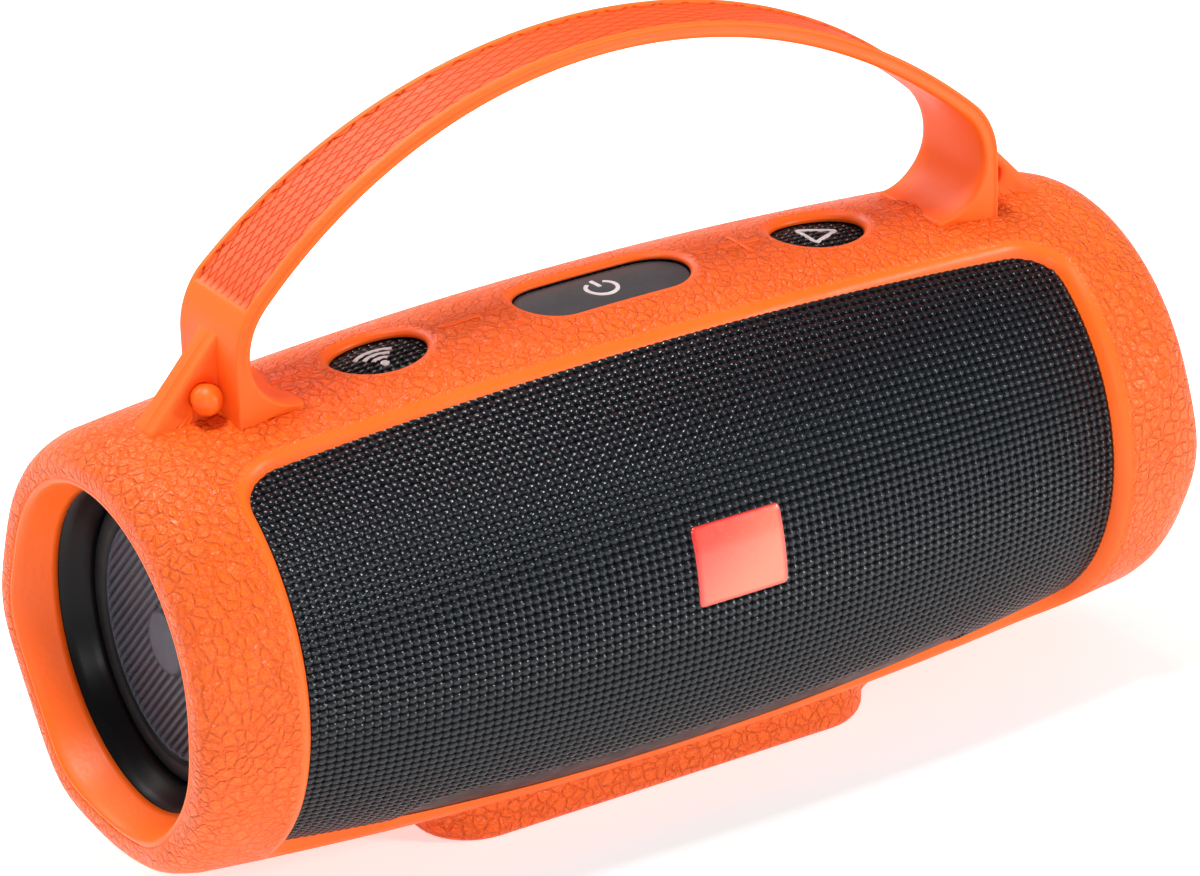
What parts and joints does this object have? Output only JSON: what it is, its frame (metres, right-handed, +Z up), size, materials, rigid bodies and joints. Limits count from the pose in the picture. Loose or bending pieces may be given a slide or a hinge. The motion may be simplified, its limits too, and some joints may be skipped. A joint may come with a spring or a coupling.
{
  "type": "portable bluetooth speaker",
  "caption": "Barrel-shaped portable speaker with a woven fabric front, top buttons and end radiators, in a silicone sleeve with an arched carrying handle.",
  "frame": {"origin": "middle of the speaker, on the flat under face of the sleeve's foot pad", "axes": "+X along the speaker, front faces -Y, +Z up"},
  "size_m": [0.218, 0.0932, 0.1475],
  "materials": {
    "silicone": "moulded silicone with an embossed pebble grain, matte",
    "silicone_smooth": "smooth moulded silicone, satin",
    "speaker_fabric": "woven polyester mesh, black with slightly shiny yarn",
    "black_rubber": "smooth black rubber",
    "gloss_black": "glossy black moulded plastic",
    "radiator_grey": "dark grey disc with fine diagonal ribs, satin",
    "button_grey": "dark grey satin plastic",
    "badge_red": "glossy red-orange plate",
    "housing_black": "black moulded ABS",
    "driver_steel": "black painted pressed steel",
    "magnet_steel": "zinc plated steel",
    "cone_paper": "black pressed cone, matte",
    "coil_copper": "enamelled copper winding",
    "battery_wrap": "shrink wrapped cell",
    "board_green": "solder mask on glass fibre board",
    "switch_metal": "stamped steel switch can",
    "socket_metal": "stamped steel socket shell",
    "screw_steel": "zinc plated screw",
    "gasket_foam": "closed cell foam"
  },
  "bodies": {
    "speaker_body": {"silicone_sleeve": "silicone", "carry_handle": "silicone_smooth", "handle_ball_stud": "silicone_smooth", "fabric_wrap": "speaker_fabric", "base_foot": "black_rubber", "left_end_frame": "gloss_black", "right_end_frame": "gloss_black", "badge_plate": "badge_red", "main_housing": "housing_black", "front_grille": "housing_black", "front_baffle": "housing_black", "battery_holder": "housing_black", "port_tray": "housing_black", "left_driver_basket": "driver_steel", "right_driver_basket": "driver_steel", "left_driver_magnet": "magnet_steel", "right_driver_magnet": "magnet_steel", "left_battery_cell": "battery_wrap", "right_battery_cell": "battery_wrap", "main_board": "board_green", "button_board": "board_green", "tact_switches": "switch_metal", "usb_c_socket": "socket_metal", "card_slot": "socket_metal", "usb_a_socket": "socket_metal", "aux_socket": "socket_metal", "end_frame_screws": "screw_steel", "driver_screws": "screw_steel", "left_driver_gasket": "gasket_foam", "right_driver_gasket": "gasket_foam"},
    "left_radiator": {"left_radiator_disc": "radiator_grey", "left_radiator_surround": "black_rubber"},
    "left_driver_motion": {"left_driver_cone": "cone_paper", "left_voice_coil": "coil_copper"},
    "right_radiator": {"right_radiator_disc": "radiator_grey", "right_radiator_surround": "black_rubber"},
    "right_driver_motion": {"right_driver_cone": "cone_paper", "right_voice_coil": "coil_copper"},
    "power_button": {"power_button": "button_grey"},
    "wireless_button": {"wireless_button": "speaker_fabric"},
    "play_button": {"play_button": "speaker_fabric"},
    "minus_button": {"minus_button": "speaker_fabric"},
    "plus_button": {"plus_button": "speaker_fabric"},
    "port_cover": {"port_cover": "black_rubber"}
  },
  "joints": [
    {"name": "power_press", "type": "slide", "parent": "speaker_body", "child": "power_button", "axis": [0, 0, -1], "range_m": [0, 0.0005], "stiffness_N_per_m": 600},
    {"name": "wireless_press", "type": "slide", "parent": "speaker_body", "child": "wireless_button", "axis": [0, 0, -1], "range_m": [0, 0.0005], "stiffness_N_per_m": 600},
    {"name": "play_press", "type": "slide", "parent": "speaker_body", "child": "play_button", "axis": [0, 0, -1], "range_m": [0, 0.0005], "stiffness_N_per_m": 600},
    {"name": "minus_press", "type": "slide", "parent": "speaker_body", "child": "minus_button", "axis": [0, 0, -1], "range_m": [0, 0.0005], "stiffness_N_per_m": 600},
    {"name": "plus_press", "type": "slide", "parent": "speaker_body", "child": "plus_button", "axis": [0, 0, -1], "range_m": [0, 0.0005], "stiffness_N_per_m": 600},
    {"name": "left_radiator_slide", "type": "slide", "parent": "speaker_body", "child": "left_radiator", "axis": [-1, 0, 0], "range_m": [-0.002, 0.002], "stiffness_N_per_m": 900},
    {"name": "right_radiator_slide", "type": "slide", "parent": "speaker_body", "child": "right_radiator", "axis": [1, 0, 0], "range_m": [-0.002, 0.002], "stiffness_N_per_m": 900},
    {"name": "left_driver_slide", "type": "slide", "parent": "speaker_body", "child": "left_driver_motion", "axis": [0, -1, 0], "range_m": [-0.0015, 0.0015], "stiffness_N_per_m": 1200},
    {"name": "right_driver_slide", "type": "slide", "parent": "speaker_body", "child": "right_driver_motion", "axis": [0, -1, 0], "range_m": [-0.0015, 0.0015], "stiffness_N_per_m": 1200},
    {"name": "port_cover_hinge", "type": "hinge", "parent": "speaker_body", "child": "port_cover", "pos_m": [0, 0.03943, 0.0276], "axis": [-1, 0, 0], "range_deg": [0, 100]}
  ]
}
